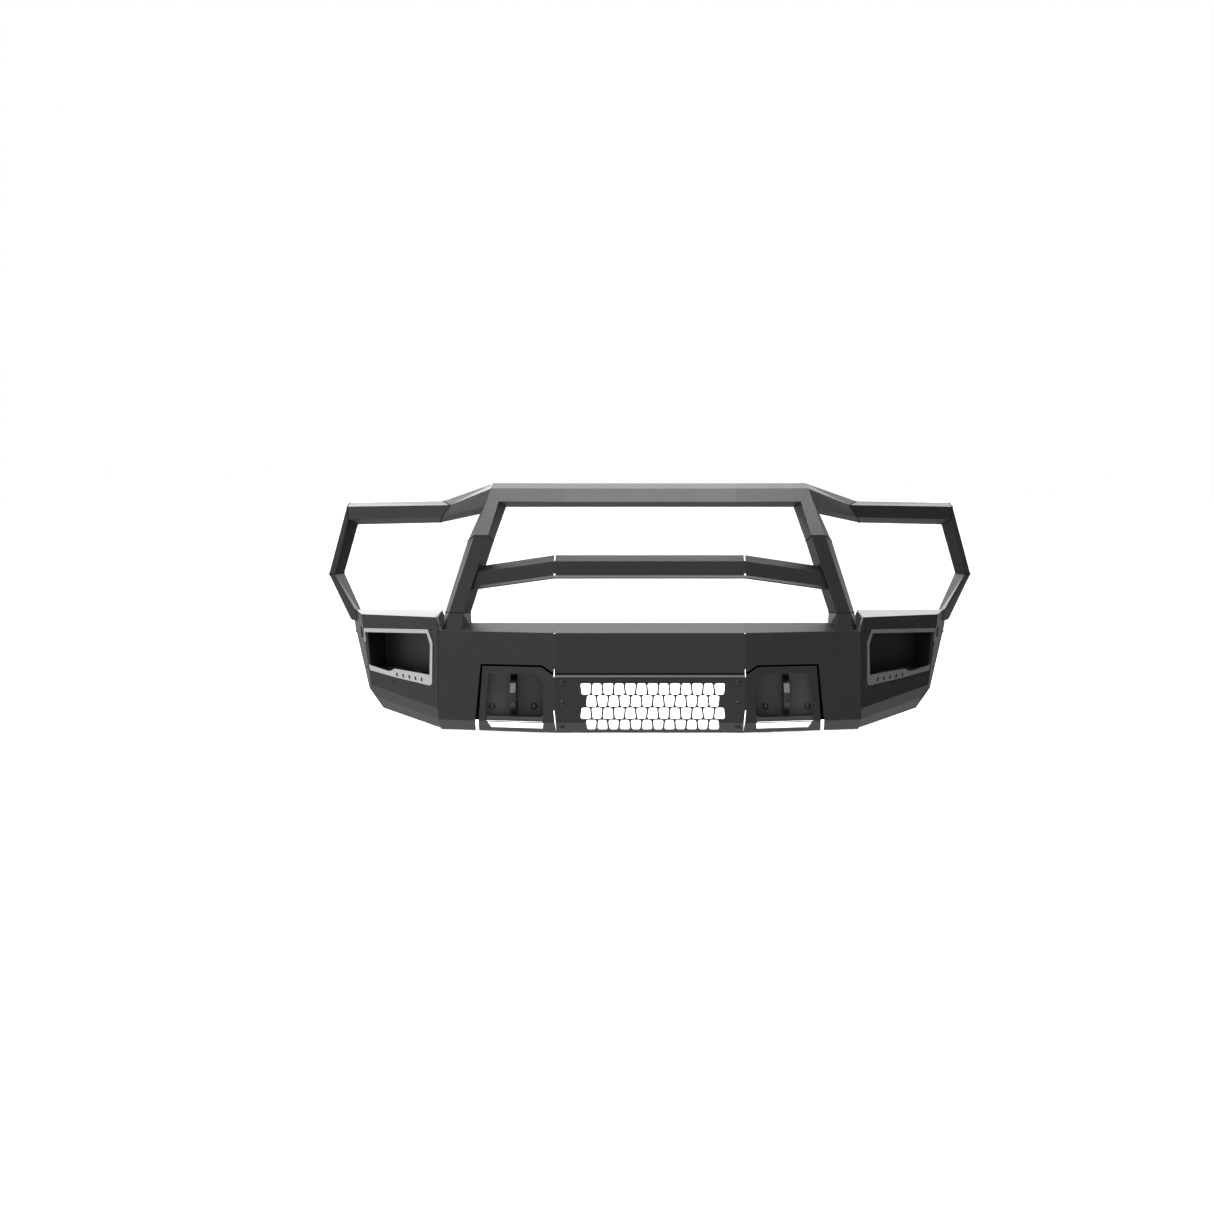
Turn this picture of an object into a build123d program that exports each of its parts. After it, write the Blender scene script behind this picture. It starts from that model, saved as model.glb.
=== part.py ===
from build123d import *
import math
import os

import numpy

os.makedirs("parts", exist_ok=True)

# Front bumper with an integral grille guard and headlight guards, all formed steel.
# +X is to the right as seen from the front, +Y runs back to the cab and +Z is up.
# Outlines are laid out from the centre of the front face, at the level of the lower edge.
# The finished nodes are then moved so that the origin is under the middle of the whole part.

# ---- Driving dimensions, millimetres -----------------------------------------------------
SKIN = 4.8                 # skin plate, guard channels and wings
BRACKET = 8.0              # frame brackets
TAB = 19.0                 # tow tabs
LINER = 3.0                # light pockets, closing strips
TRIM = 2.5                 # bezel plate
JOINT_GAP = 0.6            # daylight left where two bolted pieces lie near each other

FACE_TOP = 301.6           # front edge of the top shelf
FACE_FOLD = 31.7           # fold between the face and the lower band
BAND_BACK = 16.0           # how far the lower band runs back
CENTRE_X = 286.0           # half width of the centre section
SEAM_X = 643.0             # seam between the skin and the wing
SWEEP = 0.228              # run back per unit of width of the outer sections
WING_SWEEP = 0.479         # the same for the wings
SHELF_BACK = 68.8          # rear edge of the shelf behind the centre face
SHELF_SEAM_X = 283.7       # the shelf's bend at its rear edge
SHELF_RISE = 25.0          # rise of the shelf over that depth
SHELF_END_BACK = 135.0     # rear edge of the shelf at the wing
SHELF_END_Z = 321.1
LIP_DROP = 30.0            # return lip under the shelf's rear edge

WING_TOP = 342.0
WING_TOP_BACK = 382.0
RELIEF_R = 2.6             # relief holes at the ends of bends

TOW_X = 412.0              # tow tabs, which is half the frame horns' spacing
TOW_BASE_BACK = 48.0       # base plate behind the panel's face
SHACKLE_R = 13.0
FRAME_HOLE_R = 8.5         # clearance for M16 bolts
FRAME_HOLE_Y = 110.0       # hole spacing along the frame horn
FRAME_HOLE_Z = 70.0
FRAME_HOLES_AT = (330.0, 165.0)   # y and z of the middle of the frame hole pattern
BRACKET_END = 430.0

GRILLE_PITCH = 33.5
GRILLE_WIDE = 31.8
GRILLE_NARROW = 24.4
GRILLE_SHIFT = 9.0         # the pattern stands a little to one side of the middle
GRILLE_ROWS = ((150.4, 116.6, 13), (113.6, 80.4, 12), (77.2, 44.0, 13), (40.8, 10.8, 12))
GRILLE_CORNER_R = 6.0
GRILLE_BOLT_X = 264.0
GRILLE_BOLT_Z = (155.0, 91.0, 19.0)

GRILLE_BOLT_R = 5.4        # clearance for the panel's bolts
GRILLE_ANGLE = 4.0         # plate of the angles behind the panel's bolts
TOW_BOLT_R = 7.0           # clearance for the tow plates' bolts
TOW_PLATE = 6.0
SCREW_R = 2.6              # clearance for the bezels' screws
RIB = 6.0                  # ribs behind the skin
STRUT_R = 16.0             # round struts to the side plates
STRUT_BORE_R = 13.0
STRUT_TAB = 5.0

FLAT_BEND = 0.02           # bends flatter than this count as one plane in the mitres
THROUGH = 100.0            # generous length for cutters that pass right through

nodes = {}


# ---- Helpers -----------------------------------------------------------------------------
def mirrored(shape):
    """The same shape on the other side of the centre plane."""
    return mirror(shape, about=Plane.YZ)


def add_pair(name, right):
    """Store a right-hand piece and its mirror image as two nodes."""
    nodes[name + "_right"] = right
    nodes[name + "_left"] = mirrored(right)


def with_mirror(solids):
    """A group of solids, and the same again on the other side."""
    return Compound(children=solids + [mirrored(solid) for solid in solids])


def loop_normal(loop):
    """Unit normal of a loop of corners, from the sum of its edges' cross products."""
    total = Vector(0, 0, 0)
    for first, second in zip(loop, loop[1:] + loop[:1]):
        total += Vector(*first).cross(Vector(*second))
    return total.normalized()


def flat_faces(loop):
    """One flat face, or a fan of triangles where the corners aren't in one plane."""
    normal = loop_normal(loop)
    offsets = [normal.dot(Vector(*corner) - Vector(*loop[0])) for corner in loop]
    if max(offsets) - min(offsets) < 1e-6:
        return [Face(Wire.make_polygon([Vector(*corner) for corner in loop], close=True))]
    first = loop.index(min(loop, key=lambda corner: (abs(corner[0]), corner[1], corner[2])))
    turned = loop[first:] + loop[:first]
    fans = [(turned[0], turned[i], turned[i + 1]) for i in range(1, len(loop) - 1)]
    return [Face(Wire.make_polygon([Vector(*corner) for corner in fan], close=True)) for fan in fans]


def bent_plate(corners, facets, thickness, neighbours=()):
    """A folded plate: outer corners, outward-facing facets, mitred inner side.

    Neighbours are facets of the pieces welded to this one. They only turn the edges' mitres.
    """
    normals = {}
    for facet in list(facets) + list(neighbours):
        normal = loop_normal([corners[name] for name in facet])
        for name in facet:
            normals.setdefault(name, []).append(normal)

    inner = {}
    for name in {name for facet in facets for name in facet}:
        rows = numpy.array([[n.X, n.Y, n.Z] for n in normals[name]])
        reach = numpy.full(len(rows), -thickness)
        step = numpy.linalg.lstsq(rows, reach, rcond=FLAT_BEND)[0]
        inner[name] = tuple(float(a + b) for a, b in zip(corners[name], step))

    edges = {(a, b) for facet in facets for a, b in zip(facet, facet[1:] + facet[:1])}
    faces = []
    for facet in facets:
        faces += flat_faces([corners[name] for name in facet])
        faces += flat_faces([inner[name] for name in reversed(facet)])
    for a, b in edges:
        if (b, a) not in edges:
            faces += flat_faces([corners[b], corners[a], inner[a], inner[b]])
    return Solid(Shell(faces))


def slab(loop, thickness):
    """A flat plate: its outer corners, and a thickness against their normal."""
    face = Face(Wire.make_polygon([Vector(*corner) for corner in loop], close=True))
    return Solid.extrude(face, loop_normal(loop) * -thickness)


def prism(outline, y_from, y_to):
    """A prism along Y from an outline of (x, z) points."""
    face = Face(Wire.make_polygon([Vector(x, y_from, z) for x, z in outline], close=True))
    return Solid.extrude(face, Vector(0, y_to - y_from, 0))


def block(x, y, z):
    """A box from its low and high values along each axis."""
    middle = Pos(sum(x) / 2, sum(y) / 2, sum(z) / 2)
    return middle * Box(x[1] - x[0], y[1] - y[0], z[1] - z[0])


def rod(point, direction, radius, length):
    """A cylinder that starts at a point and runs along a direction."""
    plane = Plane(origin=point, z_dir=direction)
    return plane * Pos(0, 0, length / 2) * Cylinder(radius, length)


def button_bolt(point, outward, head_r, head_h, shank_r, shank_length):
    """A domed button-head bolt with a hexagon socket, seated at a point on a face."""
    head = Cylinder(head_r, head_h, align=(Align.CENTER, Align.CENTER, Align.MIN))
    head = fillet(head.edges().sort_by(Axis.Z)[-1], head_h * 0.8)
    socket = extrude(Plane.XY.offset(head_h * 0.4) * RegularPolygon(head_r * 0.42, 6), head_h)
    shank = Pos(0, 0, -shank_length / 2) * Cylinder(shank_r, shank_length)
    return Plane(origin=point, z_dir=outward) * (head - socket + shank)


def channel_run(stations, thickness):
    """Channel segments between stations, mitred where they meet.

    A station lists the section's corners from the upper rear one round the front. A run
    travels towards -X, or up, so that the facets look outwards.
    """
    corners = {}
    for number, station in enumerate(stations):
        for part, corner in enumerate(station):
            corners[number, part] = corner
    strips = len(stations[0]) - 1
    spans = []
    for i in range(len(stations) - 1):
        spans.append([((i, a), (i + 1, a), (i + 1, a + 1), (i, a + 1)) for a in range(strips)])
    solids = []
    for i, facets in enumerate(spans):
        beside = [facet for j in (i - 1, i + 1) if 0 <= j < len(spans) for facet in spans[j]]
        solids.append(bent_plate(corners, facets, thickness, beside))
    return solids


def largest(shape):
    """The largest solid of a cut piece, without the slivers that the cut leaves."""
    return max(shape.solids(), key=lambda solid: solid.volume)


def face_y(x):
    """Depth of the front face at a given x."""
    return max(0.0, abs(x) - CENTRE_X) * SWEEP


def wing_y(x):
    """Depth of the wing's face at a given x."""
    return face_y(SEAM_X) + (x - SEAM_X) * WING_SWEEP


def wing_point(x, z, proud=0.0):
    """A point on the wing's face, or a little in front of it."""
    scale = proud / math.hypot(1.0, WING_SWEEP)
    return (x + WING_SWEEP * scale, wing_y(x) - scale, z)


def plane_y(a, b, c, x, z):
    """Depth at which the plane through three points passes a given x and z."""
    normal = (Vector(*b) - Vector(*a)).cross(Vector(*c) - Vector(*a))
    return a[1] - (normal.X * (x - a[0]) + normal.Z * (z - a[2])) / normal.Y


def plane_x(a, b, c, y, z):
    """The x at which the plane through three points passes a given depth and z."""
    normal = (Vector(*b) - Vector(*a)).cross(Vector(*c) - Vector(*a))
    return a[0] - (normal.Y * (y - a[1]) + normal.Z * (z - a[2])) / normal.X


# ---- Front skin and lower panel ----------------------------------------------------------
# The lower panel's outline, and the slightly larger cut in the skin round it
PANEL_OUTLINE = ((518.0, -9.0), (518.0, FACE_FOLD), (505.5, 197.0), (326.0, 197.0), (290.5, 173.5),
                 (286.0, 169.0))
CUT_OUTLINE = ((528.5, -9.0), (528.5, FACE_FOLD), (511.5, 204.0), (323.5, 204.0), (288.5, 181.0))
TOW_OPENING = ((487.0, 177.0), (343.0, 177.0), (320.0, 147.0), (320.0, FACE_FOLD), (497.0, FACE_FOLD))
TOW_SLOT = ((491.0, 29.5), (319.5, 29.5), (322.0, 12.0), (480.0, 12.0))
TOW_OPENING_R = 5.0
CORNER_SLIT = ((285.8, 168.0), (287.4, 168.0), (287.4, 193.0), (285.8, 193.0))
BAND_SLIT = ((286.2, 69.0), (288.8, 69.0), (286.0, 36.0), (281.4, 4.0), (280.9, 4.0), (282.8, 36.0))


def both_sides(outline):
    """A closed outline from the points of its right half."""
    return tuple(outline) + tuple((-x, z) for x, z in reversed(outline))


def front_corners():
    """Corners of the bent front sheet, from the left seam to the right seam."""
    corners = {}
    for side, x in (("ll", -SEAM_X), ("l", -CENTRE_X), ("r", CENTRE_X), ("rr", SEAM_X)):
        sign = math.copysign(1.0, x)
        end = len(side) == 2
        back_x = sign * (SEAM_X - 3.0 if end else SHELF_SEAM_X)
        back_y = SHELF_END_BACK if end else SHELF_BACK
        back_z = SHELF_END_Z if end else FACE_TOP + SHELF_RISE
        corners["top_" + side] = (x, face_y(x), FACE_TOP)
        corners["fold_" + side] = (x, face_y(x), FACE_FOLD)
        corners["foot_" + side] = (x - sign * (8.0 if end else 2.0), face_y(x) + BAND_BACK, 0.0)
        corners["back_" + side] = (back_x, back_y, back_z)
        corners["lip_" + side] = (back_x, back_y + 2.0, back_z - LIP_DROP)
    return corners


def front_facets(rows):
    """Outward-facing facets between named rows, over the three sections."""
    facets = []
    for left, right in (("ll", "l"), ("l", "r"), ("r", "rr")):
        for upper, lower in rows:
            facets.append((upper + "_" + left, lower + "_" + left, lower + "_" + right, upper + "_" + right))
    return facets


def relief(x, y, z):
    """A small hole through the end of a bend."""
    return rod((x, y - 12.0, z), (0, 1, 0), RELIEF_R, 24.0)


def slit(outline):
    """A narrow upright slit through the front sheet, on both sides."""
    right = prism(outline, -20.0, 40.0)
    return right + mirrored(right)


def front_skin():
    """Face, sloped top shelf with a return lip, and lower band, cut out for the lower panel."""
    rows = (("lip", "back"), ("back", "top"), ("top", "fold"), ("fold", "foot"))
    skin = bent_plate(front_corners(), front_facets(rows), SKIN)
    skin -= prism(both_sides(CUT_OUTLINE), -50.0, 50.0 + face_y(CUT_OUTLINE[0][0]))
    skin -= slit(CORNER_SLIT)
    for x in (-CENTRE_X, CENTRE_X):
        skin -= relief(x, 0.0, FACE_TOP)
    for x in (SEAM_X - 3.0, 3.0 - SEAM_X):
        skin -= relief(x, face_y(SEAM_X), FACE_TOP)
    return skin


def rounded_prism(outline, radius, y_from, y_to):
    """A prism along Y from (x, z) points, with its upright corners rounded."""
    body = prism(outline, y_from, y_to)
    return fillet(body.edges().filter_by(Axis.Y), radius)


def grille_hole(x, z_top, z_low, wide_top):
    """One tapered hole of the grille, wider at the top or at the bottom."""
    top = (GRILLE_WIDE if wide_top else GRILLE_NARROW) / 2
    low = (GRILLE_NARROW if wide_top else GRILLE_WIDE) / 2
    outline = ((x - top, z_top), (x + top, z_top), (x + low, z_low), (x - low, z_low))
    return rounded_prism(outline, GRILLE_CORNER_R, -20.0, 60.0)


def grille_holes():
    """All holes: four rows, in which wide tops and wide bottoms take turns."""
    holes = []
    for row, (z_top, z_low, count) in enumerate(GRILLE_ROWS):
        starts_wide = row in (0, 3)
        for i in range(count):
            x = GRILLE_SHIFT + (i - (count - 1) / 2) * GRILLE_PITCH
            holes.append(grille_hole(x, z_top, z_low, (i % 2 == 0) == starts_wide))
    return holes


def lower_panel():
    """The bolted insert: perforated centre, and a surround for each tow pocket."""
    sheet = bent_plate(front_corners(), front_facets((("top", "fold"), ("fold", "foot"))), SKIN)
    panel = sheet & prism(both_sides(PANEL_OUTLINE), -50.0, 50.0 + face_y(PANEL_OUTLINE[0][0]))
    tow = rounded_prism(TOW_OPENING, TOW_OPENING_R, -30.0, 90.0) + prism(TOW_SLOT, -30.0, 90.0)
    panel -= tow + mirrored(tow)
    panel -= slit(CORNER_SLIT) + slit(BAND_SLIT)
    panel -= grille_holes()
    for x in (GRILLE_BOLT_X, -GRILLE_BOLT_X):
        for z in GRILLE_BOLT_Z:
            panel -= rod((x, -5.0, z), (0, 1, 0), GRILLE_BOLT_R, THROUGH)
    return panel


nodes["front_skin"] = front_skin()
nodes["lower_panel"] = lower_panel()


PANEL_LIP = ((-5.0, 0.0), (1.0, 6.0), (8.0, 12.5), (8.0, 31.0), (12.8, 31.0), (12.8, 10.5), (1.8, 0.0))
GRILLE_ANGLE_X = (252.0, 276.0)
GRILLE_ANGLE_FLANGES = (38.0, 166.0, 8.0, 34.0)     # z of the upper flange and of the lower one
GRILLE_ANGLE_WEB = ((22.0, 8.0), (34.0, 8.0), (34.0, 215.0), (14.0, 215.0), (14.0, 166.0))


def across(profile, x_from, x_to):
    """A prism along X from an outline of (y, z) points."""
    face = Face(Wire.make_polygon([Vector(x_from, y, z) for y, z in profile], close=True))
    return Solid.extrude(face, Vector(x_to - x_from, 0, 0))


def panel_lip():
    """Angle strip along the panel's upper edge, sloped like the shelf."""
    z_panel = PANEL_OUTLINE[-1][1]
    half = CORNER_SLIT[0][0] + 0.4
    return across([(y, z_panel + z) for y, z in PANEL_LIP], -half, half)


def grille_bolts():
    """Button-head bolts at the panel's edges, three to a side."""
    bolts = []
    for z in GRILLE_BOLT_Z:
        lean = (FACE_FOLD - z) * BAND_BACK / FACE_FOLD if z < FACE_FOLD else 0.0
        shank = 32.0 - lean
        bolts.append(button_bolt((GRILLE_BOLT_X, lean, z), (0, -1, 0), 8.0, 4.8, 4.8, shank))
    return with_mirror(bolts)


def grille_bracket():
    """Upright angle behind the panel's bolts, welded to the skin's return."""
    x_low, x_high = GRILLE_ANGLE_X
    upper_low, upper_high, lower_low, lower_high = GRILLE_ANGLE_FLANGES
    face = SKIN + 0.2
    web = ((face, upper_low),) + GRILLE_ANGLE_WEB + ((face, upper_high),)
    bracket = across(web, x_low, x_low + GRILLE_ANGLE)
    bracket += block((x_low, x_high), (face, face + GRILLE_ANGLE), (upper_low, upper_high))
    band_y = GRILLE_ANGLE_WEB[0][0]
    bracket += block((x_low, x_high), (band_y, band_y + GRILLE_ANGLE), (lower_low, lower_high))
    for z in GRILLE_BOLT_Z:
        bracket -= rod((GRILLE_BOLT_X, -5.0, z), (0, 1, 0), GRILLE_BOLT_R, THROUGH)
    return bracket


# ---- Tow pockets -------------------------------------------------------------------------
TOW_BASE_Y = face_y(TOW_X) + TOW_BASE_BACK
TOW_BASE_SPAN = (322.0, 499.0, 41.0, 178.5)
TOW_BOLTS = ((351.6, 72.5), (479.0, 72.5))
TAB_PROFILE = ((0.0, 171.0), (-52.0, 148.0), (-72.0, 122.0), (-72.0, 90.5), (-30.0, 56.0), (0.0, 50.0))
TAB_HOLE = (-49.0, 104.0)
TAB_TAIL = 60.0
TAB_SLOT_Z = (49.0, 172.0)
TAB_CHAMFER = 1.0
TOW_CORNER_R = 14.0
POCKET_OUTER = ((315.0, 33.0), (503.0, 33.0), (493.0, 182.0), (339.0, 182.0), (315.0, 150.0))
POCKET_INNER = ((318.0, 36.0), (500.0, 36.0), (490.5, 179.0), (340.5, 179.0), (318.0, 149.0))
POCKET_SILL = ((318.0, 34.0), (500.0, 34.0), (500.0, 58.0), (496.0, 50.5), (489.0, 46.5), (331.0, 46.5),
               (323.0, 50.5), (318.0, 59.0))
BACKING_OUTER = ((543.0, 20.0), (526.0, 217.0), (318.0, 217.0), (280.0, 188.0), (280.0, 20.0))
BACKING_INNER = ((506.0, 0.0), (495.0, 186.0), (331.0, 186.0), (292.0, 158.0), (240.0, 158.0), (240.0, 0.0))
BACKING_SPAN = (289.5, 545.0, 33.0, 222.0)
BACKING_BEHIND = 9.0


def tow_base_plate():
    """Recessed plate behind the panel's opening, with rounded lower corners."""
    x_low, x_high, z_low, z_high = TOW_BASE_SPAN
    plate = block((x_low, x_high), (TOW_BASE_Y, TOW_BASE_Y + TOW_PLATE), (z_low, z_high))
    lower = plate.edges().filter_by(Axis.Y).sort_by(Axis.Z)[:2]
    plate = fillet(lower, TOW_CORNER_R)
    half = (TAB + JOINT_GAP) / 2
    plate -= block((TOW_X - half, TOW_X + half), (0.0, 2 * THROUGH), TAB_SLOT_Z)
    for x, z in TOW_BOLTS:
        plate -= rod((x, TOW_BASE_Y - 1.0, z), (0, 1, 0), TOW_BOLT_R, THROUGH)
    return plate


def tow_tab():
    """Tow tab: 19 mm plate through the base plate, with a shackle hole and a tail to the bracket."""
    (_, z_top), (_, z_low) = TAB_PROFILE[0], TAB_PROFILE[-1]
    tail = ((TAB_TAIL, z_low), (TAB_TAIL, z_top))
    outline = [(TOW_BASE_Y + y, z) for y, z in TAB_PROFILE + tail]
    tab = across(outline, TOW_X - TAB / 2, TOW_X + TAB / 2)
    tab = chamfer(tab.edges().filter_by(Plane.YZ).sort_by(Axis.Y)[:6], TAB_CHAMFER)
    y, z = TAB_HOLE
    return tab - rod((TOW_X - TAB, TOW_BASE_Y + y, z), (1, 0, 0), SHACKLE_R, 2 * TAB)


def tow_bolts():
    """Two domed bolts to a side, which hold the base plates to the frame brackets."""
    shank = TOW_PLATE + BRACKET + 20.0
    return with_mirror([
        button_bolt((x, TOW_BASE_Y, z), (0, -1, 0), 9.5, 5.5, TOW_BOLT_R - 0.2, shank) for x, z in TOW_BOLTS
    ])


def tow_nuts():
    """Hexagon nuts behind the brackets' front plates."""
    nuts = []
    for x, z in TOW_BOLTS:
        nut = extrude(RegularPolygon(11.5, 6), 10.0) - Cylinder(TOW_BOLT_R, THROUGH)
        nuts.append(Plane(origin=(x, TOW_BASE_Y + TOW_PLATE + BRACKET, z), z_dir=(0, 1, 0)) * nut)
    return with_mirror(nuts)


def behind_face(body, gap):
    """Trim a body so that it stays a gap behind the outer section's face."""
    plan = ((186.0, -300.0), (800.0, -300.0), (800.0, face_y(800.0) + gap), (CENTRE_X, gap), (186.0, gap))
    face = Face(Wire.make_polygon([Vector(x, y, -50.0) for x, y in plan], close=True))
    return body - Solid.extrude(face, Vector(0, 0, 500.0))


def tow_pocket():
    """Liner round the recess, with a low sill at the front that has rounded inner corners."""
    ring = prism(POCKET_OUTER, -20.0, TOW_BASE_Y - JOINT_GAP) - prism(POCKET_INNER, -40.0, 2 * THROUGH)
    ring = behind_face(ring, SKIN + JOINT_GAP)
    behind = SKIN + JOINT_GAP
    return ring + slab([(x, face_y(x) + behind, z) for x, z in POCKET_SILL], LINER)


def gap_backing():
    """Strip behind the gap between the skin and the lower panel, which closes it from behind."""
    depth = SKIN + BACKING_BEHIND
    x_low, x_high, z_low, z_high = BACKING_SPAN
    span = ((x_low, z_low), (x_high, z_low), (x_high, z_high), (x_low, z_high))
    ring = prism(BACKING_OUTER, -20.0, 2 * THROUGH) - prism(BACKING_INNER, -40.0, 2 * THROUGH + 20.0)
    return slab([(x, face_y(x) + depth, z) for x, z in span], LINER) & ring


add_pair("grille_bracket", grille_bracket())
nodes["panel_lip"] = panel_lip()
nodes["grille_bolts"] = grille_bolts()
add_pair("tow_base", tow_base_plate())
add_pair("tow_tab", tow_tab())
add_pair("tow_pocket", tow_pocket())
add_pair("gap_backing", gap_backing())
nodes["tow_bolts"] = tow_bolts()
nodes["tow_nuts"] = tow_nuts()


# ---- Wings, light pockets and bezels ------------------------------------------------------
CORNER = ((894.0, 342.0), (862.5, 126.0), (841.9, 86.0), (827.5, 50.0))   # x and z down the corner
CORNER_LOW_Y = (195.0, 215.0)
INNER = ((650.0, 342.0), (644.4, 301.6), (644.4, 65.0), (643.6, 29.0), (636.6, 0.0))
SIDE_END = (957.0, 500.0, 280.0)      # a point on the side plate's rear edge, which sets its flare
SIDE_REAR = ((500.0, 342.0), (500.0, 280.0), (262.0, 106.0))     # y and z down the rear edge
INNER_FLANGE_DROP = ((638.5, 80.5, 304.0), (648.5, WING_TOP_BACK, 301.6))
WING_TOP_INNER_X = 661.0
SPLICE_X = (618.0, 653.0)
SPLICE_Z = (70.0, 294.0)
SPLICE_BEHIND = 7.0                  # how far the splice stands behind the outer faces
LIGHT_OPENING = ((873.5, 288.0), (679.5, 293.0), (667.0, 258.0), (668.5, 158.0), (863.0, 178.5))
SIDE_SLOT = (240.0, 300.0, 262.0, 297.0)
BEZEL_OUTER = ((884.5, 299.5), (675.5, 304.0), (660.5, 265.0), (661.5, 139.5), (668.5, 133.5),
               (776.0, 152.0), (797.0, 156.5), (863.5, 170.5), (867.0, 189.0))
BEZEL_INNER = ((862.5, 186.0), (803.5, 171.0), (797.0, 171.5), (782.0, 179.0), (685.0, 168.0),
               (669.5, 165.5), (668.0, 257.5), (679.0, 292.0), (881.0, 287.5), (877.5, 258.5), (881.5, 258.0))
BEZEL_SLOTS = (695.0, 150.5, 20.0, 5)      # first slot's x and z, pitch and count
BEZEL_SLOT_RISE = 0.137
BEZEL_SLOT = ((-2.5, -6.0), (2.5, -5.3), (4.5, 6.0), (-0.5, 5.3))
BEZEL_BOLTS = ((827.7, 313.3), (667.5, 304.5), (790.8, 141.2), (662.2, 126.5))
SIDE_BOLTS = ((475.0, 265.8), (244.7, 175.2))     # y and z
POCKET_OUTLINE = ((874.5, 291.5), (676.0, 296.5), (664.0, 259.0), (665.5, 155.5), (865.5, 177.0))
POCKET_MIDDLE = (772.0, 235.0)
POCKET_HALF = (105.0, 60.0)
POCKET_DEPTH = 96.0
RAIL_AT = (772.0, 168.2, -52.0)      # x and z on the wing's face, and how far behind it
RAIL_SLOPE = 0.1075                  # the pocket's floor rises outwards
RAIL_FEET_X = 35.0


def wing_corners():
    """Outer corners of the wing and its side plate."""
    corners = {}
    for i, (x, z) in enumerate(CORNER):
        corners["c%d" % i] = (x, wing_y(x) if i < 2 else CORNER_LOW_Y[i - 2], z)
    for i, (x, z) in enumerate(INNER):
        corners["i%d" % i] = (x, wing_y(x), z)
    band = (corners["i2"], corners["c1"], corners["c2"])
    x, z = INNER[3]
    corners["i3"] = (x, plane_y(*band, x, z), z)
    x, z = INNER[4]
    corners["i4"] = (x, plane_y(corners["i3"], corners["c2"], corners["c3"], x, z), z)
    side = (corners["c0"], corners["c1"], SIDE_END)
    corners["t_out"] = (plane_x(*side, WING_TOP_BACK, WING_TOP), WING_TOP_BACK, WING_TOP)
    corners["t_in"] = (WING_TOP_INNER_X, WING_TOP_BACK, WING_TOP)
    corners["n_front"], corners["n_back"] = INNER_FLANGE_DROP
    for i, (y, z) in enumerate(SIDE_REAR):
        corners["s%d" % i] = (plane_x(*side, y, z), y, z)
    return corners


WING_FACETS = (
    ("i0", "i1", "i2", "c1", "c0"),
    ("i2", "i3", "c2", "c1"),
    ("i3", "i4", "c3", "c2"),
    ("i0", "c0", "t_out", "t_in"),
)
FLANGE_FACETS = (("i0", "t_in", "n_back", "n_front"),)
SIDE_FACETS = (("c0", "c1", "s2", "s1", "s0", "t_out"), ("c1", "c2", "c3", "s2"))


def side_normal():
    """Outward normal of the side plate."""
    corners = wing_corners()
    return loop_normal([corners[name] for name in ("c0", "c1", "s1")])


def side_point(y, z, proud=0.0):
    """A point on the side plate's outer face, or a little outside it."""
    corners = wing_corners()
    return Vector(plane_x(corners["c0"], corners["c1"], SIDE_END, y, z), y, z) + side_normal() * proud


def wing():
    """Swept face, two bands rising outwards, level top and the flange at its inner end."""
    body = bent_plate(wing_corners(), WING_FACETS + FLANGE_FACETS, SKIN, SIDE_FACETS)
    body -= prism(LIGHT_OPENING, 60.0, 260.0)
    x, z = INNER[0]
    body -= relief(x, wing_y(x), z)
    for x, z in BEZEL_BOLTS:
        body -= rod(wing_point(x, z, 5.0), (-WING_SWEEP, 1.0, 0.0), SCREW_R, 20.0)
    return body


def side_plate():
    """Side plate from the wing's corner back to the wheel arch, with the lower corner folded in."""
    body = bent_plate(wing_corners(), SIDE_FACETS, SKIN, WING_FACETS)
    y_low, y_high, z_low, z_high = SIDE_SLOT
    body -= block((840.0, 960.0), (y_low, y_high), (z_low, z_high))
    for y, z in SIDE_BOLTS:
        body -= rod(side_point(y, z, 5.0), -side_normal(), SCREW_R, 20.0)
    return body


def wing_splice():
    """Backing plate across the seam between the skin and the wing."""
    x_in, x_out = SPLICE_X
    z_low, z_top = SPLICE_Z
    corners = {}
    for name, x in (("in", x_in), ("mid", SEAM_X), ("out", x_out)):
        y = SPLICE_BEHIND + (wing_y(x) if x > SEAM_X else face_y(x))
        corners[name + "_top"] = (x, y, z_top)
        corners[name + "_low"] = (x, y, z_low)
    facets = [("in_top", "in_low", "mid_low", "mid_top"), ("mid_top", "mid_low", "out_low", "out_top")]
    return bent_plate(corners, facets, LINER)


def bezel():
    """Bright trim plate round the light opening, with plain slots in its lower band."""
    outline = BEZEL_OUTER + BEZEL_INNER
    plate = slab([wing_point(x, z, TRIM + 0.2) for x, z in outline], TRIM)
    first_x, first_z, pitch, count = BEZEL_SLOTS
    for i in range(count):
        x = first_x + i * pitch
        z = first_z + i * pitch * BEZEL_SLOT_RISE
        plate -= prism([(x + dx, z + dz) for dx, dz in BEZEL_SLOT], 60.0, 260.0)
    return plate


def bezel_bolts():
    """Small screws round the bezels, on the wings' faces and on the side plates."""
    places = [(wing_point(x, z), (WING_SWEEP, -1.0, 0.0)) for x, z in BEZEL_BOLTS]
    places += [(side_point(y, z), side_normal()) for y, z in SIDE_BOLTS]
    return with_mirror([button_bolt(point, out, 4.6, 2.6, SCREW_R - 0.3, 14.0) for point, out in places])


def pocket_loop(grow, proud):
    """The pocket's outline on the wing's face, grown by a margin."""
    x_mid, z_mid = POCKET_MIDDLE
    wide = 1.0 + grow / POCKET_HALF[0]
    high = 1.0 + grow / POCKET_HALF[1]
    grown = [(x_mid + (x - x_mid) * wide, z_mid + (z - z_mid) * high) for x, z in POCKET_OUTLINE]
    return [wing_point(x, z, proud) for x, z in grown]


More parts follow.
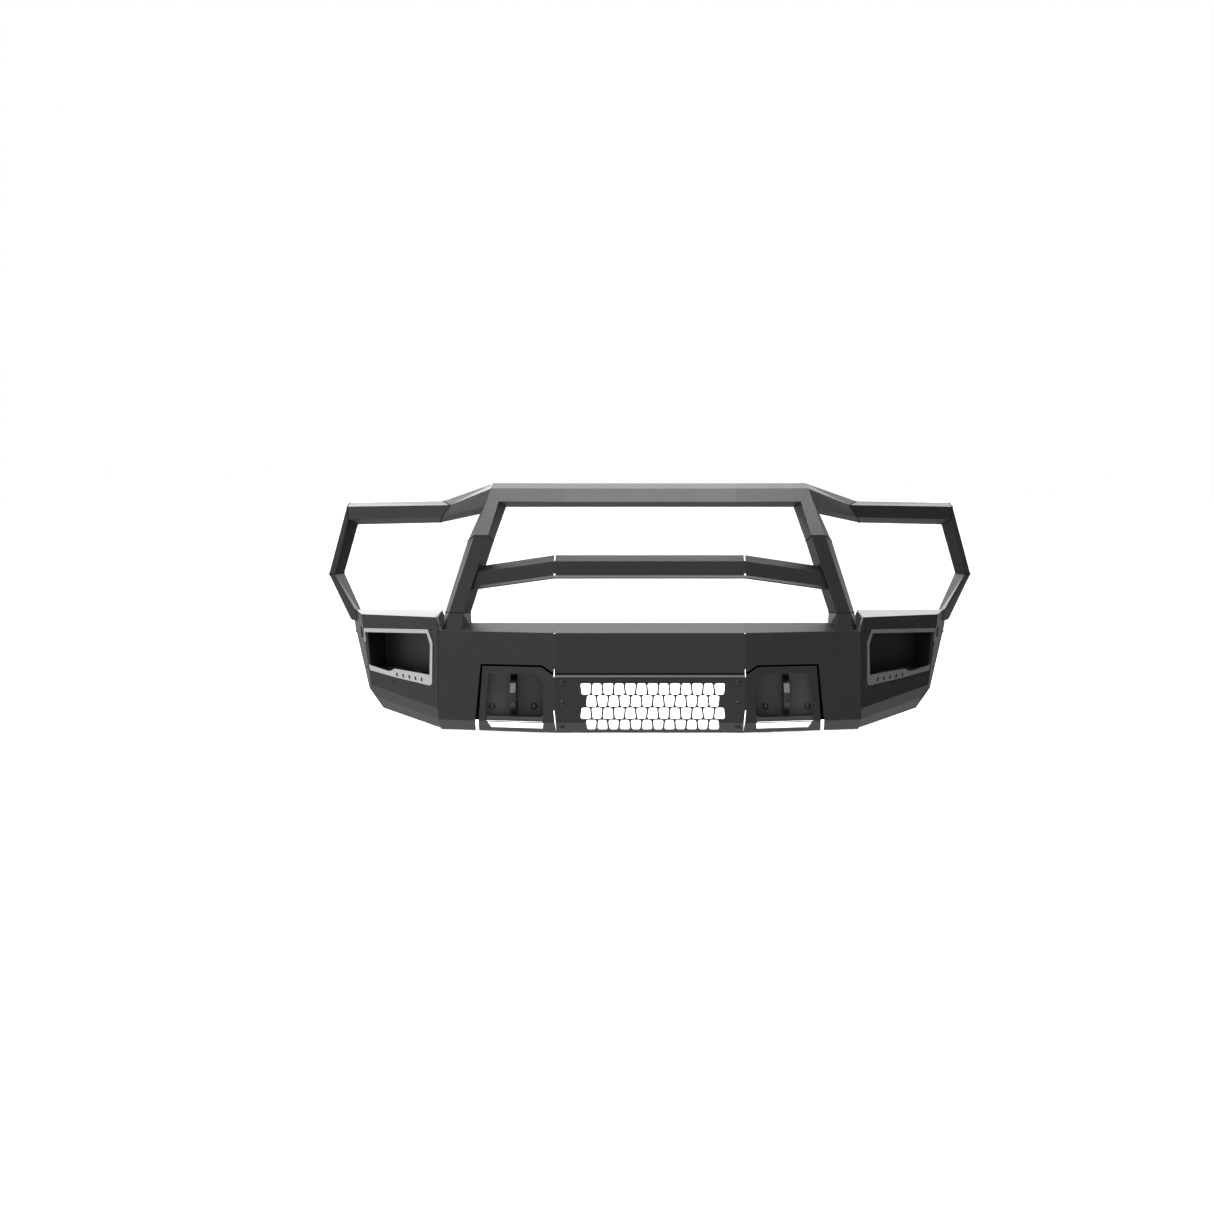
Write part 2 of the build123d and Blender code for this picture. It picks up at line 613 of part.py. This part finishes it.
def light_pocket():
    """Five-sided box behind the light opening."""
    behind = SKIN + JOINT_GAP
    box = slab(pocket_loop(LINER, -behind), POCKET_DEPTH)
    return box - slab(pocket_loop(0.0, 20.0), 20.0 + behind + POCKET_DEPTH - LINER)


def light_rail():
    """Flat rail on the pocket's floor with two slots for a lamp's feet."""
    rail = block((-60.0, 60.0), (-16.0, 16.0), (0.0, 4.0))
    for x in (-RAIL_FEET_X, RAIL_FEET_X):
        rail -= Pos(x, 0, 0) * extrude(SlotOverall(25.0, 9.0), 10.0, both=True)
    x_axis = (1.0, WING_SWEEP, RAIL_SLOPE)
    normal = Vector(*x_axis).cross(Vector(-WING_SWEEP, 1.0, 0.0))
    return Plane(origin=wing_point(*RAIL_AT), x_dir=x_axis, z_dir=normal) * rail


add_pair("wing", wing())
add_pair("side_plate", side_plate())
add_pair("wing_splice", wing_splice())
add_pair("bezel", bezel())
nodes["bezel_bolts"] = bezel_bolts()
add_pair("light_pocket", light_pocket())
add_pair("light_rail", light_rail())


# ---- Grille guard -------------------------------------------------------------------------
def left_of(stations):
    """The mirror images of stations, in the reverse order."""
    return [tuple((-x, y, z) for x, y, z in station) for station in reversed(stations)]


# Corners of each section: upper or outer rear, its front, lower or inner front, its rear
HOOP = [
    ((634.0, 95.0, 301.6), (618.0, 75.7, 301.6), (570.0, 64.8, 301.6), (543.0, 120.0, 301.6)),
    ((630.0, 160.0, 352.0), (611.0, 85.0, 356.0), (568.0, 75.0, 356.0), (549.7, 150.0, 352.0)),
    ((560.6, 160.0, 571.0), (534.0, 85.0, 591.0), (491.0, 75.0, 591.0), (479.3, 150.0, 571.0)),
    ((482.0, 185.0, 748.5), (489.0, 162.0, 733.3), (463.0, 130.7, 692.6), (445.0, 197.0, 674.5)),
    ((263.5, 131.0, 748.8), (266.0, 108.0, 733.4), (266.0, 83.0, 692.6), (259.0, 143.0, 676.0)),
]
HOOP_NAMES = ("upright_foot", "upright_post", "upright_head", "top_bar")

MID_BAR = [
    ((520.0, 118.0, 495.7), (532.0, 88.0, 478.3), (544.0, 91.0, 434.0), (547.0, 85.0, 426.5)),
    ((288.0, 70.0, 532.0), (290.0, 40.0, 515.0), (290.0, 40.0, 472.3), (290.0, 33.5, 465.5)),
]
HEADLIGHT_GUARD = [
    ((964.0, 445.0, 308.0), (951.0, 400.0, 308.0), (920.0, 392.0, 303.0), (917.0, 445.0, 308.0)),
    ((1044.0, 512.0, 449.0), (1037.0, 468.0, 450.0), (1017.0, 462.0, 451.0), (994.0, 512.0, 452.0)),
    ((975.0, 510.0, 680.0), (977.0, 453.0, 669.0), (972.0, 450.0, 628.0), (948.0, 500.0, 610.0)),
    ((655.0, 350.0, 689.0), (628.0, 291.0, 678.3), (655.0, 303.0, 639.4), (665.0, 358.0, 620.6)),
    ((484.0, 205.0, 747.5), (486.0, 161.5, 733.4), (510.0, 165.0, 675.5), (521.0, 208.0, 653.5)),
]
LEG_TUCK = 14.0            # how far the lower leg passes down inside the side plate
FOOT_GUSSET = ((645.0, 339.0), (634.5, 359.5), (626.0, 350.0), (629.0, 302.0), (635.0, 302.0))
GUSSET_Y = (90.0, 94.0)
GUARD_NAMES = ("guard_leg_lower", "guard_leg_upper", "guard_bar", "guard_slope")


MID_SLIT = ((285.2, 289.6), (42.0, 90.0), (490.0, 560.0))
MID_RELIEF = ((288.0, 20.0, 474.5), 3.2)


def under_shelf():
    """The space under the shelf's outer facet, where the upright's foot is notched."""
    front = (CENTRE_X, 0.0, FACE_TOP)
    end = (SEAM_X, face_y(SEAM_X), FACE_TOP)
    back_end = (SEAM_X - 3.0, SHELF_END_BACK, SHELF_END_Z)
    back = (SHELF_SEAM_X, SHELF_BACK, FACE_TOP + SHELF_RISE)
    drop = Vector(0, 0, -60.0)
    halves = []
    for loop in ((back, front, end), (back, end, back_end)):
        face = Face(Wire.make_polygon([Vector(*corner) for corner in loop], close=True))
        halves.append(Solid.extrude(face, drop))
    return halves[0] + halves[1]


def foot_gusset():
    """Upright leaf on the shelf's outer end, between the upright's foot and the wing."""
    plate = prism(FOOT_GUSSET, *GUSSET_Y)
    return largest(plate - under_shelf() - nodes["front_skin"] - hoop["upright_foot"])


hoop = dict(zip(HOOP_NAMES + ("top_bar_centre",), channel_run(HOOP + left_of(HOOP), SKIN)))
hoop["upright_foot"] = largest(hoop["upright_foot"] - under_shelf() - nodes["front_skin"])
for name in HOOP_NAMES:
    add_pair(name, hoop[name])
add_pair("foot_gusset", foot_gusset())
nodes["top_bar_centre"] = hoop["top_bar_centre"]

mid_side, mid_centre, _ = channel_run(MID_BAR + left_of(MID_BAR), SKIN)
mid_slits = block(*MID_SLIT) + rod(MID_RELIEF[0], (0, 1, 0), MID_RELIEF[1], THROUGH)
mid_slits += mirrored(mid_slits)
add_pair("mid_bar", largest(mid_side - mid_slits - hoop["upright_post"]))
nodes["mid_bar_centre"] = mid_centre - mid_slits

guard = dict(zip(GUARD_NAMES, channel_run(HEADLIGHT_GUARD, SKIN)))
side_space = slab([wing_corners()[name] for name in ("c0", "c1", "s2", "s1", "s0")], THROUGH)
side_space &= block((700.0, 1100.0), (100.0, 600.0), (0.0, WING_TOP - LEG_TUCK))
guard["guard_leg_lower"] = largest(guard["guard_leg_lower"] - side_space - nodes["side_plate_right"])
guard["guard_slope"] = largest(guard["guard_slope"] - hoop["upright_head"])
for name in GUARD_NAMES:
    add_pair(name, guard[name])


# ---- Structure behind the skin ------------------------------------------------------------
WEB_X = TOW_X + TAB / 2 + JOINT_GAP
BRACKET_FRONT_Y = TOW_BASE_Y + TOW_PLATE
BRACKET_FRONT_X = (318.0, 503.0)
BRACKET_FRONT_Z = (33.0, 185.0)
BRACKET_WEB_Z = (95.0, 240.0)
BRACKET_TAPER = 190.0                # length of the web that holds its full depth
RIB_X = TOW_X + 30.0
RIB_REACH = 120.0
CHANNEL_PROFILE = ((130.0, 228.0), (180.0, 228.0), (180.0, 278.0), (130.0, 278.0), (130.0, 274.0),
                   (176.0, 274.0), (176.0, 232.0), (130.0, 232.0))
STRUT_FROM = (405.0, 215.0)          # y and z at the bracket's web
STRUT_TO = (440.0, 240.0)            # y and z at the side plate


def frame_bracket():
    """Bracket for the frame horn: front plate behind the tow base, and a web with four holes."""
    front = block(BRACKET_FRONT_X, (BRACKET_FRONT_Y, BRACKET_FRONT_Y + BRACKET), BRACKET_FRONT_Z)
    front -= block((2 * TOW_X - WEB_X, WEB_X), (0.0, 3 * THROUGH), TAB_SLOT_Z)
    for x, z in TOW_BOLTS:
        front -= rod((x, BRACKET_FRONT_Y - 1.0, z), (0, 1, 0), TOW_BOLT_R, THROUGH)
    y_front = BRACKET_FRONT_Y + BRACKET
    y_taper = BRACKET_END - BRACKET_TAPER
    low, high = BRACKET_FRONT_Z
    web_low, web_high = BRACKET_WEB_Z
    outline = ((y_front, low), (y_front, high), (y_taper, web_high), (BRACKET_END, web_high),
               (BRACKET_END, web_low), (y_taper, web_low))
    web = across(outline, WEB_X, WEB_X + BRACKET)
    y, z = FRAME_HOLES_AT
    for dy in (-FRAME_HOLE_Y / 2, FRAME_HOLE_Y / 2):
        for dz in (-FRAME_HOLE_Z / 2, FRAME_HOLE_Z / 2):
            web -= rod((WEB_X - 1.0, y + dy, z + dz), (1, 0, 0), FRAME_HOLE_R, THROUGH)
    return front + web


def skin_rib():
    """Upright rib from the frame bracket to the skin's face and shelf."""
    y = face_y(RIB_X + RIB) + SKIN + JOINT_GAP
    y_back = y + RIB_REACH
    z_low = 226.0
    z_bracket = BRACKET_FRONT_Z[1] - 35.0
    outline = ((y, z_low), (y, FACE_TOP - 14.0), (y + 38.0, FACE_TOP), (y_back, 250.0), (y_back, z_low))
    rib = across(outline, RIB_X, RIB_X + RIB)
    rib += block((RIB_X, RIB_X + RIB), (TOW_BASE_Y + 20.0, y_back), (z_bracket, z_low))
    foot_y = (TOW_BASE_Y + 40.0, TOW_BASE_Y + 70.0)
    return rib + block((WEB_X + BRACKET, RIB_X), foot_y, (z_bracket, z_bracket + BRACKET))


def cross_channel():
    """Formed channel between the ribs, behind the skin."""
    half = RIB_X - JOINT_GAP
    return across(CHANNEL_PROFILE, -half, half)


def wing_strut():
    """Round strut from the frame bracket to the side plate, with a flat tab at each end."""
    x_web = WEB_X + BRACKET + 0.2
    y, z = STRUT_FROM
    start = Vector(x_web + STRUT_TAB - 1.0, y, z)
    inner_tab = block((x_web, x_web + STRUT_TAB), (y - 21.0, y + 21.0), (z - 19.0, z + 21.0))
    out = side_normal()
    seat = Plane(origin=side_point(*STRUT_TO, -SKIN - 1.0), x_dir=Vector(-out.Y, out.X, 0), z_dir=out)
    along = seat.origin - start
    tube = rod(start, along, STRUT_R, along.length + STRUT_R) - rod(start, along, STRUT_BORE_R, THROUGH * 6)
    tube -= seat * Pos(0, 0, STRUT_R) * Box(THROUGH, THROUGH, 2 * STRUT_R)
    outer_tab = seat * Pos(0, 0, -STRUT_TAB / 2) * Box(50.0, 40.0, STRUT_TAB)
    return tube + inner_tab + outer_tab


add_pair("frame_bracket", frame_bracket())
add_pair("skin_rib", skin_rib())
nodes["cross_channel"] = cross_channel()
add_pair("wing_strut", wing_strut())


# ---- Origin and export --------------------------------------------------------------------
boxes = [shape.bounding_box() for shape in nodes.values()]
front_y = min(box.min.Y for box in boxes)
rear_y = max(box.max.Y for box in boxes)
bottom_z = min(box.min.Z for box in boxes)
to_origin = Pos(0.0, -(front_y + rear_y) / 2, -bottom_z)
print("moved by", to_origin.position, "pieces", len(nodes))
for name, shape in nodes.items():
    export_step(to_origin * shape, "parts/%s.step" % name)
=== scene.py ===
import math

import bmesh
import bpy
from mathutils.kdtree import KDTree
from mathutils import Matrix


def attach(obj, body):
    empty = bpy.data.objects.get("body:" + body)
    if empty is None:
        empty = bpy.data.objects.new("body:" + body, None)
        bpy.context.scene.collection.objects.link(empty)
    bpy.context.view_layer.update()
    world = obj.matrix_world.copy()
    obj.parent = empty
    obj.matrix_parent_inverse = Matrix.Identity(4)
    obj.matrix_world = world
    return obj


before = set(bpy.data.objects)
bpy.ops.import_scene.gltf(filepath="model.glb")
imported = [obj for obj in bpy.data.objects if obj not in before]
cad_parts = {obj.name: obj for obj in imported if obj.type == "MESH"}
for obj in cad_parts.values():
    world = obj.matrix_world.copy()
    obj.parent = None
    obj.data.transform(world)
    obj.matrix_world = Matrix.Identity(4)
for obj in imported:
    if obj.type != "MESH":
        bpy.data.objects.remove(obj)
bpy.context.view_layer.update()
scene = bpy.context.scene

# ---- Camera ---------------------------------------------------------------------------------
CENTRE_FACE_Y = -0.254504      # the front face's centre in the part's frame
CAMERA_Z = 0.8356
CAMERA_BACK = 6.0              # from the front face to the camera
SENSOR_WIDTH = 36.0
LENS = 59.31
SHIFT_X = -0.0352              # the part stands a little off the middle of the frame
SHIFT_Y = -0.1252


def make_camera():
    data = bpy.data.cameras.new("camera")
    data.lens = LENS
    data.sensor_width = SENSOR_WIDTH
    data.shift_x = SHIFT_X
    data.shift_y = SHIFT_Y
    camera = bpy.data.objects.new("camera", data)
    camera.location = (0.0, CENTRE_FACE_Y - CAMERA_BACK, CAMERA_Z)
    camera.rotation_euler = (math.radians(90.0), 0.0, 0.0)
    scene.collection.objects.link(camera)
    scene.camera = camera


make_camera()


# ---- Node helpers ---------------------------------------------------------------------------
class Graph:
    """The node tree of a new material or world, with short calls for the nodes that are used most."""

    def __init__(self, owner):
        owner.use_nodes = True
        self.owner = owner
        self.tree = owner.node_tree

    def node(self, kind, inputs=None, **settings):
        """A new node. Settings are its properties, and inputs are values or links for its sockets."""
        node = self.tree.nodes.new(kind)
        for name, value in settings.items():
            setattr(node, name, value)
        for name, value in (inputs or {}).items():
            self.feed(node.inputs[name], value)
        return node

    def feed(self, socket, value):
        """Links the socket to another one, or sets its own value."""
        if isinstance(value, bpy.types.NodeSocket):
            self.tree.links.new(value, socket)
        else:
            socket.default_value = value

    def math(self, operation, a, b):
        node = self.node("ShaderNodeMath", operation=operation)
        self.feed(node.inputs[0], a)
        self.feed(node.inputs[1], b)
        return node.outputs[0]

    def noise(self, scale, detail, roughness, stretch=None):
        """Noise fixed to the object, finer along an axis where stretch is above 1."""
        where = self.node("ShaderNodeTexCoord").outputs["Object"]
        if stretch:
            where = self.node("ShaderNodeMapping", {"Vector": where, "Scale": stretch}).outputs["Vector"]
        node = self.node("ShaderNodeTexNoise", {"Vector": where, "Scale": scale, "Detail": detail,
                                                "Roughness": roughness})
        return node.outputs["Fac"]

    def ramp(self, value, stops):
        """Colours at places from 0 to 1."""
        node = self.node("ShaderNodeValToRGB", {"Fac": value})
        elements = node.color_ramp.elements
        while len(elements) < len(stops):
            elements.new(0.5)
        for element, (place, colour) in zip(elements, stops):
            element.position = place
            element.color = colour
        return node.outputs["Color"]

    def levels(self, value, stops):
        """A grey that runs between levels, given at places from -1 to 1."""
        where = self.math("ADD", self.math("MULTIPLY", value, 0.5), 0.5)
        return self.ramp(where, [((place + 1.0) / 2.0, grey(level)) for place, level in stops])

    def spread(self, value, low, high):
        """The value, which runs from 0 to 1, spread from low to high."""
        node = self.node("ShaderNodeMapRange", {"Value": value, "To Min": low, "To Max": high})
        return node.outputs["Result"]

    def blend(self, a, b, value, low, high):
        """From a to b as the value goes from low to high."""
        share = self.node("ShaderNodeMapRange", {"Value": value, "From Min": low, "From Max": high})
        node = self.node("ShaderNodeMix", data_type="FLOAT")
        self.feed(node.inputs["Factor"], share.outputs["Result"])
        self.feed(node.inputs["A"], a)
        self.feed(node.inputs["B"], b)
        return node.outputs["Result"]

    def shade(self, **values):
        """Feeds the material's shader and returns the material."""
        shader = self.tree.nodes["Principled BSDF"]
        for name, value in values.items():
            self.feed(shader.inputs[name.replace("_", " ")], value)
        return self.owner


def grey(value, warm=0.0):
    """A grey, or a slightly warm grey."""
    return (value * (1.0 + warm), value, value * (1.0 - warm), 1.0)


# ---- Materials ------------------------------------------------------------------------------
EDGE_RADIUS = 0.0016           # the coat softens every cut edge
EDGE_SAMPLES = 6
PEEL_SCALE = 620.0             # orange peel of the sprayed coat
PEEL_DEPTH = 0.0006
SPECK_SCALE = 900.0
CLOUD_SCALE = 5.0              # slow change of roughness over a whole plate
BRUSH_SCALE = 90.0
BRUSH_STRETCH = (0.35, 0.35, 9.0)
BRUSH_DEPTH = 0.0004
BRUSH_STRENGTH = 0.12
METAL_WARMTH = 0.015


def powder_coat(name, base, rough, grain, speck):
    """Satin black powder coat: fine orange peel, faint cloudiness and light specks."""
    g = Graph(bpy.data.materials.new(name))
    peel = g.noise(PEEL_SCALE, 3.0, 0.6)
    cloud = g.noise(CLOUD_SCALE, 3.0, 0.55)
    dots = g.noise(SPECK_SCALE, 1.0, 0.5)
    tint = g.math("ADD", g.math("MULTIPLY", cloud, 0.35), g.math("MULTIPLY", peel, 0.65))
    colour = g.ramp(tint, ((0.30, grey(base * 0.72)), (0.70, grey(base * 1.3))))
    spark = g.ramp(dots, ((0.66, grey(0.0)), (0.74, grey(speck))))
    mix = g.node("ShaderNodeMix", data_type="RGBA", blend_type="ADD")
    g.feed(mix.inputs["Factor"], 1.0)
    g.feed(mix.inputs["A"], colour)
    g.feed(mix.inputs["B"], spark)
    edge = g.node("ShaderNodeBevel", {"Radius": EDGE_RADIUS}, samples=EDGE_SAMPLES)
    bump = g.node("ShaderNodeBump", {"Height": peel, "Strength": grain, "Distance": PEEL_DEPTH,
                                     "Normal": edge.outputs["Normal"]})
    return g.shade(Base_Color=mix.outputs["Result"], Roughness=g.spread(cloud, rough - 0.04, rough + 0.06),
                   Normal=bump.outputs["Normal"], Specular_IOR_Level=0.5)


def satin_metal(name, tone, rough):
    """Brushed sheet with a fine grain along its length."""
    g = Graph(bpy.data.materials.new(name))
    brush = g.noise(BRUSH_SCALE, 4.0, 0.6, BRUSH_STRETCH)
    cloud = g.noise(14.0, 3.0, 0.5)
    colour = g.ramp(brush, ((0.25, grey(tone * 0.82, METAL_WARMTH)), (0.75, grey(tone * 1.08, METAL_WARMTH))))
    bump = g.node("ShaderNodeBump", {"Height": brush, "Strength": BRUSH_STRENGTH, "Distance": BRUSH_DEPTH})
    return g.shade(Base_Color=colour, Metallic=1.0, Roughness=g.spread(cloud, rough - 0.05, rough + 0.08),
                   Normal=bump.outputs["Normal"])


def coated_steel(name, base, rough, gloss):
    """Plain black coating without grain, for bolts, for welds whose darker coat is painted shade, and for the
    strip behind the tow surrounds' gap, whose near-black coat is painted shadow.
    """
    g = Graph(bpy.data.materials.new(name))
    cloud = g.noise(60.0, 3.0, 0.6)
    colour = g.ramp(cloud, ((0.3, grey(base * 0.7)), (0.75, grey(base * 1.5))))
    return g.shade(Base_Color=colour, Roughness=g.spread(cloud, rough - 0.06, rough + 0.1),
                   Specular_IOR_Level=gloss)


COAT = powder_coat("black_powder_coat", 0.0035, 0.42, 0.34, 0.018)
BEZEL = satin_metal("satin_bezel", 0.45, 0.36)
FASTENER = coated_steel("black_fastener", 0.003, 0.18, 0.55)
STRUCTURE = powder_coat("black_structure", 0.003, 0.5, 0.25, 0.008)
# The same black coat with a much lighter base colour for the tow recess parts: painted light that brightens
# the recess.
LIT_RECESS_COAT = powder_coat("recess_coat_painted_light", 0.024, 0.5, 0.3, 0.02)
# Near black and barely reflective, for the strip behind the tow surrounds' gap: painted shadow in the gap.
SHADOW = coated_steel("painted_gap_shadow", 0.0006, 0.8, 0.06)
# Welds get a matte coat darker than the powder coat. The beads are real, and their darkness is painted shade
# along the joints.
SEAM = coated_steel("weld_painted_shade", 0.001, 0.55, 0.15)

HIDDEN_PREFIXES = ("frame_bracket", "skin_rib", "cross_channel", "wing_strut", "wing_splice",
                   "grille_bracket", "light_rail")
FASTENERS = ("grille_bolts", "tow_bolts", "tow_nuts", "bezel_bolts")


def material_of(node):
    if node in FASTENERS:
        return FASTENER
    if node in ("bezel_left", "bezel_right"):
        return BEZEL
    # The strip behind the gap is coloured near black as painted shadow.
    if node.startswith("gap_backing"):
        return SHADOW
    # The tow recess pieces take the lighter coat, which is painted light.
    if node.startswith(("tow_base", "tow_pocket")):
        return LIT_RECESS_COAT
    if node.startswith(HIDDEN_PREFIXES):
        return STRUCTURE
    return COAT


for node_name, node_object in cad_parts.items():
    node_object.data.materials.clear()
    node_object.data.materials.append(material_of(node_name))


# ---- Weld seams -----------------------------------------------------------------------------
SEAM_RADIUS = 0.0017
SEAM_RIPPLE = 0.0024           # length of one ripple along the bead
SEAM_SWELL = 0.14              # how much of the bead's radius a ripple takes away and gives back
RIPPLE_STEPS = 4
SEAM_SIDES = 8
SHORTEST_SEAM = 0.008
TOUCH = 0.0004                 # meshes closer than this share an edge
SEAM_PAIRS = (("upright_head", "upright_post"), ("upright_post", "upright_foot"),
              ("guard_bar", "guard_slope"), ("guard_leg_upper", "guard_leg_lower"),
              ("guard_bar", "guard_leg_upper"))


def shared_edges(first, second):
    """Edges of the first node's mesh whose two ends both touch the second node's mesh."""
    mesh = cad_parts[first].data
    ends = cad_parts[second].data.vertices
    tree = KDTree(len(ends))
    for vertex in ends:
        tree.insert(vertex.co, vertex.index)
    tree.balance()
    touching = {v.index for v in mesh.vertices if tree.find(v.co)[2] < TOUCH}
    found = {}
    for edge in mesh.edges:
        if set(edge.vertices) <= touching:
            a, b = (mesh.vertices[i].co.copy() for i in edge.vertices)
            key = tuple(sorted((tuple(round(c, 5) for c in a), tuple(round(c, 5) for c in b))))
            if (b - a).length > SHORTEST_SEAM:
                found[key] = (a, b)
    return list(found.values())


def add_bead(build, start, end):
    """A rippled round bead from one point to another."""
    along = (end - start).normalized()
    aside = along.orthogonal().normalized()
    up = along.cross(aside)
    spokes = []
    for k in range(SEAM_SIDES):
        turn = 2 * math.pi * k / SEAM_SIDES
        spokes.append(aside * math.cos(turn) + up * math.sin(turn))
    steps = max(RIPPLE_STEPS, round((end - start).length / SEAM_RIPPLE * RIPPLE_STEPS))
    rings = []
    for i in range(steps + 1):
        ripple = math.cos(2 * math.pi * i / RIPPLE_STEPS)
        radius = SEAM_RADIUS * (1 - SEAM_SWELL + SEAM_SWELL * ripple)
        middle = start.lerp(end, i / steps)
        rings.append([build.verts.new(middle + spoke * radius) for spoke in spokes])
    for ring, after in zip(rings, rings[1:]):
        for k in range(SEAM_SIDES):
            j = (k + 1) % SEAM_SIDES
            build.faces.new((ring[k], ring[j], after[j], after[k]))
    build.faces.new(rings[0][::-1])
    build.faces.new(rings[-1])


def make_seam(first, second):
    """The weld along the joint of two nodes."""
    edges = shared_edges(first, second)
    if not edges:
        raise ValueError("no joint between " + first + " and " + second)
    build = bmesh.new()
    for start, end in edges:
        add_bead(build, start, end)
    mesh = bpy.data.meshes.new("weld_" + first)
    build.to_mesh(mesh)
    build.free()
    for face in mesh.polygons:
        face.use_smooth = True
    seam = bpy.data.objects.new("weld_" + first + "_" + second, mesh)
    scene.collection.objects.link(seam)
    # The bead's dark matte coat paints the joint's shade.
    mesh.materials.append(SEAM)
    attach(seam, "root")


for upper, lower in SEAM_PAIRS:
    for side in ("_left", "_right"):
        make_seam(upper + side, lower + side)


# ---- Floor, light and world -----------------------------------------------------------------
FLOOR_HALF = 30.0
FLOOR_Z = -0.002               # just under the part's lowest edge


def floor_material():
    g = Graph(bpy.data.materials.new("pale_floor"))
    cloud = g.noise(1.3, 2.0, 0.5)
    colour = g.ramp(cloud, ((0.2, grey(0.90)), (0.8, grey(0.93))))
    return g.shade(Base_Color=colour, Roughness=0.75, Emission_Color=grey(1.0), Emission_Strength=0.3)


def make_floor():
    """A pale floor, which the part's reflections leave out."""
    mesh = bpy.data.meshes.new("floor")
    build = bmesh.new()
    corners = ((-1, -1), (1, -1), (1, 1), (-1, 1))
    build.faces.new([build.verts.new((x * FLOOR_HALF, y * FLOOR_HALF, FLOOR_Z)) for x, y in corners])
    build.to_mesh(mesh)
    build.free()
    floor = bpy.data.objects.new("floor", mesh)
    scene.collection.objects.link(floor)
    mesh.materials.append(floor_material())
    floor.visible_glossy = False


# The studio's brightness by direction, each part of which runs from -1 to 1.
# In front, from left to right:
FRONT_LEVELS = ((-1.0, 1.40), (-0.84, 1.32), (-0.75, 1.28), (-0.66, 0.82), (-0.4, 0.79), (0.0, 0.88),
                (0.5, 0.47), (0.68, 0.45), (0.84, 0.05), (1.0, 0.05))
# Behind, from low to high and from left to right:
BACK_LEVELS = ((-0.6, 0.15), (-0.4, 0.2), (-0.12, 0.85), (0.08, 1.0), (0.33, 6.6), (0.6, 0.8), (0.8, 1.3))
SIDE_LEVELS = ((-0.6, 0.32), (-0.3, 1.1), (0.0, 1.0), (0.3, 0.7), (0.6, 0.5))
# Below, from front to back:
FLOOR_LEVELS = ((0.42, 1.0), (0.78, 0.2))
GLOW_BELOW = 1.9
RIGHTWARD_BEHIND = -0.45       # change of brightness from the middle to the far right
RIGHTWARD_BELOW = -0.3
FRONT_TO_BACK = (-0.1, 0.3)    # where the front gives way to the back
BELOW_TO_LEVEL = (-0.68, -0.5)


def make_world():
    """A pale studio: brighter on the left, below and high behind. The camera sees it plain white."""
    g = Graph(bpy.data.worlds.new("studio"))
    scene.world = g.owner
    way = g.node("ShaderNodeSeparateXYZ", {"Vector": g.node("ShaderNodeTexCoord").outputs["Generated"]})
    x, y, z = way.outputs["X"], way.outputs["Y"], way.outputs["Z"]
    front = g.levels(x, FRONT_LEVELS)
    tilt = g.math("ADD", g.math("MULTIPLY", x, RIGHTWARD_BEHIND), 1.0)
    side = g.math("MULTIPLY", g.levels(x, SIDE_LEVELS), tilt)
    back = g.math("MULTIPLY", g.levels(z, BACK_LEVELS), side)
    below = g.math("ADD", g.math("MULTIPLY", x, RIGHTWARD_BELOW), GLOW_BELOW)
    below = g.math("MULTIPLY", below, g.levels(y, FLOOR_LEVELS))
    light = g.blend(front, back, y, *FRONT_TO_BACK)
    light = g.blend(below, light, z, *BELOW_TO_LEVEL)
    shown = g.node("ShaderNodeLightPath").outputs["Is Camera Ray"]
    background = g.tree.nodes["Background"]
    g.feed(background.inputs["Strength"], g.blend(light, 1.0, shown, 0.0, 1.0))
    g.feed(background.inputs["Color"], grey(1.0))


OVERHEAD_AT = (0.0, -0.25, 3.4)
OVERHEAD_SIZE = (4.6, 4.3)
OVERHEAD_POWER = 400.0


def overhead_light():
    """One large soft light, level above the part."""
    data = bpy.data.lights.new("overhead", "AREA")
    data.shape = "RECTANGLE"
    data.size, data.size_y = OVERHEAD_SIZE
    data.energy = OVERHEAD_POWER
    lamp = bpy.data.objects.new("overhead", data)
    lamp.location = OVERHEAD_AT
    scene.collection.objects.link(lamp)


make_floor()
make_world()
overhead_light()
scene.view_settings.view_transform = "Standard"
